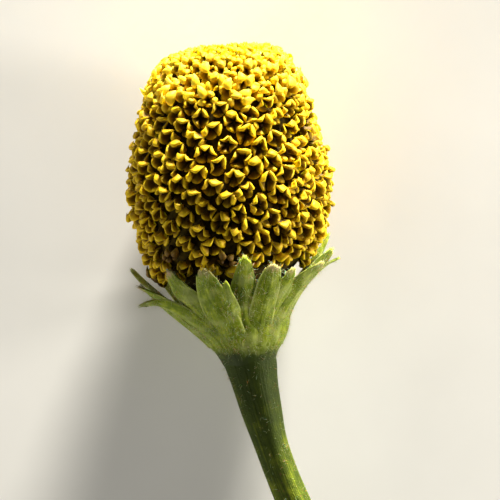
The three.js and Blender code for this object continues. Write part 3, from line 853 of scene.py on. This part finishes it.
def bract_line(azimuth, reach, rise, lean, t):
    """Where the middle of a blade runs, as distance and height, and which way it heads there."""
    leaning = math.radians(lean)
    tip = np.array([reach, rise])
    lead = BRACT_LEAD * np.array([math.sin(leaning), math.cos(leaning)])
    shoulder = np.array(BRACT_SHOULDER) + np.array(SHOULDER_TILT) * math.cos(math.radians(azimuth))
    knots = np.array([BRACT_ROOT, shoulder, tip - lead, tip])
    line = np.stack([(1 - t) ** 3, 3 * (1 - t) ** 2 * t, 3 * (1 - t) * t**2, t**3], -1) @ knots
    heading = np.stack([(1 - t) ** 2, 2 * (1 - t) * t, t**2], -1) @ np.diff(knots, axis=0)
    return line, heading / np.linalg.norm(heading, axis=-1)[..., None]


def bract(azimuth, swing, reach, rise, width, lean, layer, bluntness, dryness, random):
    """The skin of one bract and the values of its attributes."""
    u = np.linspace(1, -1, BRACT_COLUMNS)
    rows = np.linspace(0, 1, BRACT_ROWS)[:, None]
    ends = 1 - TIP_ROUNDING * (1 - bluntness) * u**2 - random.uniform(0, TIP_RAGGEDNESS, len(u))
    t = rows * ends
    line, heading = bract_line(azimuth, reach, rise, lean, t)
    side = np.stack([heading[..., 1], -heading[..., 0]], -1)
    breadth = np.interp(rows, *np.array(BRACT_FORM).T) * width
    thick = BRACT_THICKNESS / 2 * (1 - MARGIN_THINNING * u**2) * (1 - TIP_THINNING * rows**6)
    keel = KEEL["height"] * np.exp(-((u / KEEL["width"]) ** 2)) * (1 - rows)
    wave = WAVE["height"] * np.sin(WAVE["turns"] * rows + random.uniform(*ANY_PHASE)) * u * rows
    cupped = random.uniform(*CUPPING) * u**2 * np.sin(math.pi * rows)
    lift = LAYER_LIFT * layer * np.sin(math.pi * np.clip(rows / LAYER_ENDS, 0, 1)) + wave + cupped
    middle = np.radians(azimuth + swing * (1 - t) ** SWING_EASE)
    rings, along, across, neck = [], [], [], []
    for offset, order in ((lift + thick + keel, 1), (lift - thick, -1)):
        radius = line[..., 0] + side[..., 0] * offset
        height = line[..., 1] + side[..., 1] * offset
        height = height + u * breadth / 2 * swing * BANK * rows**2
        azimuths = middle + u * breadth / 2 / line[..., 0]
        rings.append(around(radius, azimuths, height)[:, ::order])
        neck.append(neck_share(height)[:, ::order])
        across.append(np.broadcast_to(u, radius.shape)[:, ::order])
        along.append(t[:, ::order])
    blade = skin(laid(bent(np.concatenate(rings, 1))))
    values = {
        "along": with_poles(np.hstack(along)),
        "across": with_poles(np.hstack(across)),
        "neck": with_poles(np.hstack(neck)),
        "tone": np.full(len(blade[0]), random.uniform(0, 1)),
        "dryness": np.full(len(blade[0]), dryness),
    }
    return blade, values


random = np.random.default_rng(BRACT_SEED)
blades = [bract(*values, random) for values in BRACTS]
bract_values = {key: [values[key] for _, values in blades] for key in LEAF_VALUES}
bracts = show("bracts", mesh_of("bracts", [blade for blade, _ in blades], bract_values), bract_green)
finish_piece(bracts, "involucre")

# %% [markdown]
# The cup is the swollen end of the stalk that the bracts grow from. Low ribs run down it where the
# bracts have grown together. It reaches a little below the solid's neck, so that cup and stalk join
# without a gap, as they do in the real flower.

# %% Cup
CUP_OUTLINE = [
    (1.6, -6.85), (1.8, -6.45), (1.97, -6.05), (2.2, -5.6), (2.7, -4.95), (3.12, -4.2), (3.4, -3.45),
    (3.5, -2.85), (3.2, -2.4), (2.2, -2.3),
]
CUP_SIDES = 144
CUP_RIBS = 18
RIB_HEIGHT = 0.05
RIBS_FADE = (-6.3, -4.5)
CUP_ALONG = 0.1
CUP_ACROSS = 0.7
CUP_TONE = 0.5
CUP_ALONG_GROWS = (-6, -3)

profile = smooth_line(CUP_OUTLINE, samples=5)
turn = -np.arange(CUP_SIDES) / CUP_SIDES * 2 * math.pi
rib = RIB_HEIGHT * np.cos(CUP_RIBS * turn) * smooth_step(profile[:, 1], *RIBS_FADE)[:, None]
cup_rings = laid(bent(around(profile[:, :1] + rib, turn, profile[:, 1:])))
cup_values = {
    "along": CUP_ALONG * smooth_step(profile[:, 1:], *CUP_ALONG_GROWS),
    "across": CUP_ACROSS * np.cos(turn * CUP_RIBS / 2),
    "tone": CUP_TONE,
    "dryness": 0,
    "neck": neck_share(profile[:, 1:]),
}
spread = {key: [with_poles(np.broadcast_to(value, rib.shape))] for key, value in cup_values.items()}
cup = show("cup", mesh_of("cup", [skin(cup_rings)], spread), bract_green)
finish_piece(cup, "involucre")

# %% [markdown]
# The stalk is one skin along a smooth curve, faintly five-ridged and striped lengthwise, and cut on the
# slant. Its upper part is painted a dark green, a painted shade under the head and the cup, that gives way
# in ragged patches to a yellower one, which has small brown specks. Its cut shows what a herb's stalk is: a
# green rind, a ring of paler strands and a soft, nearly white pith. The rings of the cut lie inside each
# other, so one attribute can colour them. The stripes read a place round the stalk that is mirrored half
# way, so they meet without a seam.

# %% Stalk
STALK_STATIONS = [
    (0.64, 0, -5.75, 1.75), (0.78, 0, -6.35, 1.83), (1.02, 0.02, -7.9, 1.58), (1.38, 0.08, -9.8, 1.4),
    (1.85, 0.2, -11.9, 1.18), (2.5, 0.38, -14.1, 1.13), (3.2, 0.6, -16.1, 1.16), (4.0, 0.88, -18.2, 1.18),
    (5.0, 1.2, -20.4, 1.2),
]
STALK_SIDES = 60
STALK_RIDGES = {"count": 5, "height": 0.035}
FINE_RIDGES = {"count": 23, "height": 0.006}
RIDGES_GROW = (0.02, 0.3)
RINGS_SQUARE = (0.05, 0.35)
CUT_SLANT = 0.35
CUT_RINGS = [0.97, 0.9, 0.8, 0.65, 0.4, 0.15]
CUT_EDGE = 0.05
STRIPE_STRETCH = 0.24
STRIPES_ROUND = 2

STALK_GREENS = [(0.3, "#252f04"), (0.75, "#8e981a"), (0.52, "#4a5909")]
CUT_COLOURS = [
    (0.0, "#5d7623"), (1.0, "#e6e7c4"), (0.12, "#7d9440"),
    (0.25, "#cbd39a"), (0.36, "#b3bf78"), (0.5, "#dfe2b8"),
]
SPECK_BROWN = "#7a5a34"
STALK_BLOTCH = 0.9 * MM
STALK_GRAIN = 0.12 * MM
STALK_SPECK = 0.3 * MM
STRIPE_SCALE = 14.0
STRIPE_SHARE = 1.4
SHADE_SHARE = 0.43
GRAIN_SHARE = 0.8
RAGGED_SHARE = 0.06
# The range where the upper stalk takes its painted shade of deep green.
UPPER_SHADE_PART = {"From Min": 0.08, "From Max": 0.2, "To Min": 0.95, "To Max": 0.0}


def stalk_green():
    material, tree, surface, along, across, cut = new_material("ridged_stalk", "along", "across", "cut")
    where = add_node(tree, "ShaderNodeTexCoord").outputs["Object"]
    place = add_node(tree, "ShaderNodeCombineXYZ", {"X": along, "Y": across})
    stripes = add_node(tree, "ShaderNodeTexNoise", {"Vector": place, "Scale": STRIPE_SCALE, "Detail": 4.0})
    blotch, grain, speck = (
        add_node(tree, "ShaderNodeTexNoise", {"Vector": where, "Scale": 1 / size, "Detail": detail})
        for size, detail in ((STALK_BLOTCH, 4.0), (STALK_GRAIN, 2.0), (STALK_SPECK, 1.0))
    )
    striped = {0: stripes, 1: STRIPE_SHARE, 2: blotch}
    mixed = add_node(tree, "ShaderNodeMath", striped, operation="MULTIPLY_ADD")
    shade = add_node(tree, "ShaderNodeMath", {0: mixed, 1: SHADE_SHARE}, operation="MULTIPLY")
    colour = add_node(tree, "ShaderNodeValToRGB", {"Fac": shade}, STALK_GREENS)

    # Brown specks lie over the green, then the painted shade of deep green on the upper part, then the
    # colours of the cut.
    spotted = {"Value": speck, "From Min": 0.7, "From Max": 0.76, "To Max": 0.7}
    specks = add_node(tree, "ShaderNodeMapRange", spotted)
    uneven = {0: blotch, 1: RAGGED_SHARE, 2: along}
    ragged = add_node(tree, "ShaderNodeMath", uneven, operation="MULTIPLY_ADD")
    upper_shade = add_node(tree, "ShaderNodeMapRange", {"Value": ragged, **UPPER_SHADE_PART})
    is_cut = add_node(tree, "ShaderNodeMapRange", {"Value": cut, "From Max": CUT_EDGE})
    inside = add_node(tree, "ShaderNodeValToRGB", {"Fac": cut}, CUT_COLOURS)
    for share, over in ((specks, linear(SPECK_BROWN)), (upper_shade, linear(NECK_SHADE_GREEN)), (is_cut, inside)):
        colour = add_node(tree, "ShaderNodeMix", {0: share, 6: colour, 7: over}, data_type="RGBA")

    height = add_node(tree, "ShaderNodeMath", {0: grain, 1: GRAIN_SHARE, 2: mixed}, operation="MULTIPLY_ADD")
    relief = {"Height": height, "Strength": 0.6, "Distance": 0.1 * MM}
    finish = {
        "Base Color": colour,
        "Normal": add_node(tree, "ShaderNodeBump", relief),
        "Roughness": 0.65,
        "Specular IOR Level": 0.15,
        "Subsurface Weight": 0.12,
        "Subsurface Radius": GREEN_GLOW,
        "Subsurface Scale": 0.3 * MM,
    }
    set_inputs(tree, surface, finish)
    return material


def unit(vectors):
    """The same directions with a length of one."""
    return vectors / np.linalg.norm(vectors, axis=1)[:, None]


line = smooth_line(STALK_STATIONS, samples=9)
t = np.linspace(0, 1, len(line))
down = unit(np.gradient(line[:, :3], axis=0))
square = smooth_step(t, *RINGS_SQUARE)[:, None]
axis = unit(np.array([0, 0, 1]) * (1 - square) - down * square)
sideways = unit(np.cross([0, 1, 0], axis))
backward = np.cross(axis, sideways)
turn = np.arange(STALK_SIDES) / STALK_SIDES * 2 * math.pi
ridged = sum(ridge["height"] * np.cos(ridge["count"] * turn) for ridge in (STALK_RIDGES, FINE_RIDGES))
radii = line[:, 3:] * (1 + ridged * smooth_step(t, *RIDGES_GROW)[:, None])
stalk_rings = (
    line[:, None, :3]
    + (radii * np.cos(turn))[:, :, None] * sideways[:, None]
    + (radii * np.sin(turn))[:, :, None] * backward[:, None]
)
end_middle = line[-1, :3]
stalk_rings[-1] += (np.cos(turn) * radii[-1] * CUT_SLANT)[:, None] * axis[-1]
cut_rings = [end_middle + (stalk_rings[-1] - end_middle) * share for share in CUT_RINGS]
all_rings = np.concatenate([stalk_rings, cut_rings])[::-1]
cut_values = np.concatenate([np.zeros(len(line)), 1 - np.array(CUT_RINGS) + CUT_EDGE])[::-1, None]
length_values = np.concatenate([t, np.ones(len(CUT_RINGS))])[::-1, None] * STRIPE_STRETCH
stalk_values = {
    "along": length_values,
    "across": np.abs(turn / math.pi - 1) * STRIPES_ROUND,
    "cut": cut_values,
}
spread = {
    key: [with_poles(np.broadcast_to(value, all_rings.shape[:2]))] for key, value in stalk_values.items()
}
stalk = show("stalk", mesh_of("stalk", [skin(laid(all_rings))], spread), stalk_green())
finish_piece(stalk, "peduncle")

# %% [markdown]
# Fine pale hairs stand on everything green. Each is a bent, tapering spike with three sides, a few tenths
# of a millimetre long, and Geometry Nodes scatter them over the skins with a seed. They stand in tufts,
# thick on the cup and the bracts, thin on the neck and sparse on the stalk. Such a hair is a clear, hollow
# cell, so it takes on a little of the green and gives the eye a pale down along the edges.

# %% Hairs
HAIR_LENGTH = 0.4
HAIR_RADIUS = 0.011
HAIR_SIDES = 3
HAIR_LEVELS = (-0.05, 0.4, 0.9)
HAIR_POINT = 1.02
HAIR_BOW = 0.3
HAIR_SIZES = (0.45, 1.1)
HAIR_LEAN = 0.9
HAIR_COLOURS = [(0.0, "#8f9c4e"), (1.0, "#d3d8a6")]
TUFT_SIZE = 1.5 * MM
TUFT_SHARES = {"From Min": 0.4, "From Max": 0.65, "To Min": 0.25, "To Max": 2.0}
BARE_NECK = 0.2
PER_SQUARE_MM = 1 / MM**2


def clear_hair():
    material, tree, surface, tone = new_material("pale_hair", "tone")
    finish = {
        "Base Color": add_node(tree, "ShaderNodeValToRGB", {"Fac": tone}, HAIR_COLOURS),
        "Roughness": 0.35,
        "Subsurface Weight": 0.4,
        "Subsurface Scale": 0.05 * MM,
    }
    set_inputs(tree, surface, finish)
    return material


def hair_mesh():
    angle = np.arange(HAIR_SIDES) / HAIR_SIDES * 2 * math.pi
    share = np.array(HAIR_LEVELS)[:, None]
    radius = HAIR_RADIUS * (HAIR_POINT - share)
    x = HAIR_BOW * HAIR_LENGTH * share**2 + radius * np.cos(angle)
    y = radius * np.sin(angle)
    z = np.broadcast_to(share * HAIR_LENGTH, x.shape)
    return mesh_of("hair", [skin(np.stack([x, y, z], -1) * MM)])


def scatter_tree(name):
    numbers = {"Hairs per square metre": "Float", "Lean": "Float", "Seed": "Int"}
    tree, given = new_tree(name, {"Skin": "Geometry", "Hair": "Object", **numbers, "Material": "Material"})
    tufts = add_node(tree, "ShaderNodeTexNoise", {"Scale": 1 / TUFT_SIZE, "Detail": 2.0})
    thickness = add_node(tree, "ShaderNodeMapRange", {"Value": tufts, **TUFT_SHARES})
    neck = add_node(tree, "GeometryNodeInputNamedAttribute", {"Name": "neck"}, data_type="FLOAT")
    above_neck = add_node(tree, "ShaderNodeMapRange", {"Value": neck, "To Min": 1.0, "To Max": BARE_NECK})
    density = given["Hairs per square metre"]
    for share in (thickness, above_neck):
        density = add_node(tree, "ShaderNodeMath", {0: density, 1: share}, operation="MULTIPLY")
    strewn = {"Mesh": given["Skin"], "Density": density, "Seed": given["Seed"]}
    roots = add_node(tree, "GeometryNodeDistributePointsOnFaces", strewn).outputs
    sizes = {2: HAIR_SIZES[0], 3: HAIR_SIZES[1], "Seed": given["Seed"]}
    size = add_node(tree, "FunctionNodeRandomValue", sizes, data_type="FLOAT")
    hair = add_node(tree, "GeometryNodeObjectInfo", {"Object": given["Hair"], "As Instance": True})
    copies = {
        "Points": roots["Points"],
        "Instance": hair.outputs["Geometry"],
        "Rotation": leaned(tree, given, roots["Rotation"]),
        "Scale": size,
    }
    planted = add_node(tree, "GeometryNodeInstanceOnPoints", copies)
    finish_copies(tree, given, planted, size)
    return tree


scatter = scatter_tree("scatter_hairs")
hair = bpy.data.objects.new("hair", hair_mesh())
shared = {"Hair": hair, "Lean": HAIR_LEAN, "Material": clear_hair()}
for name, grown_on, node_name, slot, density, seed in (
    ("bract_hairs", bracts, "involucre", "bracts", 16, 11),
    ("cup_hairs", cup, "involucre", "bracts", 30, 12),
    ("stalk_hairs", stalk, "peduncle", "stalk", 5, 13),
):
    values = {**shared, "Hairs per square metre": density * PER_SQUARE_MM, "Seed": seed}
    finish_piece(grow(name, grown_on, scatter, values), node_name)

# %% [markdown]
# The light comes from the top of the picture and the right, as in the photograph, where the crown and
# the right flank are bright and the near florets are darker. Three large soft lamps, a key, a side lamp
# and a weak fill, keep it a plain studio light. The floor is a pale, slightly mottled board.

# %% Light and floor
# Name of each lamp, its place and width in metres, its watts and its colour.
LAMPS = [
    ("key", (0.1, 0.35, 0.052), 0.08, 7.4, "#fffaf0"),
    ("side", (0.34, 0.0, 0.06), 0.08, 1.5, "#fffaf0"),
    ("fill", (-0.26, -0.2, 0.11), 0.2, 0.5, "#fffcf4"),
]
SKY_STRENGTH = 0.09
FLOOR_HALF = 1.0
FLOOR_MOTTLE_SCALE = 60.0
FLOOR_COLOURS = [(0.3, "#d9d8d3"), (0.7, "#e2e1dc")]


def soft_lamp(name, place, size, watts, colour):
    """A round lamp that shines at the middle of the picture."""
    lamp = bpy.data.lights.new(name, "AREA")
    lamp.shape = "DISK"
    lamp.size = size
    lamp.energy = watts
    lamp.color = linear(colour)[:3]
    made = bpy.data.objects.new(name, lamp)
    made.location = place
    aim = laid(PICTURE_MIDDLE)
    direction = made.location - Vector((aim[0], aim[1], AXIS_HEIGHT * MM))
    made.rotation_euler = direction.to_track_quat("Z", "Y").to_euler()
    bpy.context.scene.collection.objects.link(made)


for lamp in LAMPS:
    soft_lamp(*lamp)

world = bpy.data.worlds.new("studio")
world.use_nodes = True
sky = {"Color": linear("#f2f3f5"), "Strength": SKY_STRENGTH}
set_inputs(world.node_tree, world.node_tree.nodes["Background"], sky)
bpy.context.scene.world = world
bpy.context.scene.view_settings.view_transform = "Standard"

board, tree, surface = new_material("pale_board")
where = add_node(tree, "ShaderNodeTexCoord").outputs["Object"]
cloud = add_node(tree, "ShaderNodeTexNoise", {"Vector": where, "Scale": FLOOR_MOTTLE_SCALE, "Detail": 5.0})
tint = add_node(tree, "ShaderNodeValToRGB", {"Fac": cloud}, FLOOR_COLOURS)
set_inputs(tree, surface, {"Base Color": tint, "Roughness": 0.85})
floor_mesh = bpy.data.meshes.new("floor")
corners = [(x * FLOOR_HALF, y * FLOOR_HALF, 0) for x, y in ((-1, -1), (1, -1), (1, 1), (-1, 1))]
floor_mesh.from_pydata(corners, [], [(0, 1, 2, 3)])
floor = show("floor", floor_mesh, board)
floor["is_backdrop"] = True
print("lamps:", ", ".join(lamp[0] for lamp in LAMPS), "and a floor", 2 * FLOOR_HALF, "m across")

# %% [markdown]
# Last come the two boxes: that of the solids and that of everything dressed over them, printed in mm.

# %% Sizes and finish
dressed_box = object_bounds()
sizes = {"cad": [list(corner) for corner in cad_box], "visual": [list(corner) for corner in dressed_box]}
for name, (low, high) in sizes.items():
    print(name, "box, mm:", [round(v / MM, 2) for v in low], [round(v / MM, 2) for v in high])
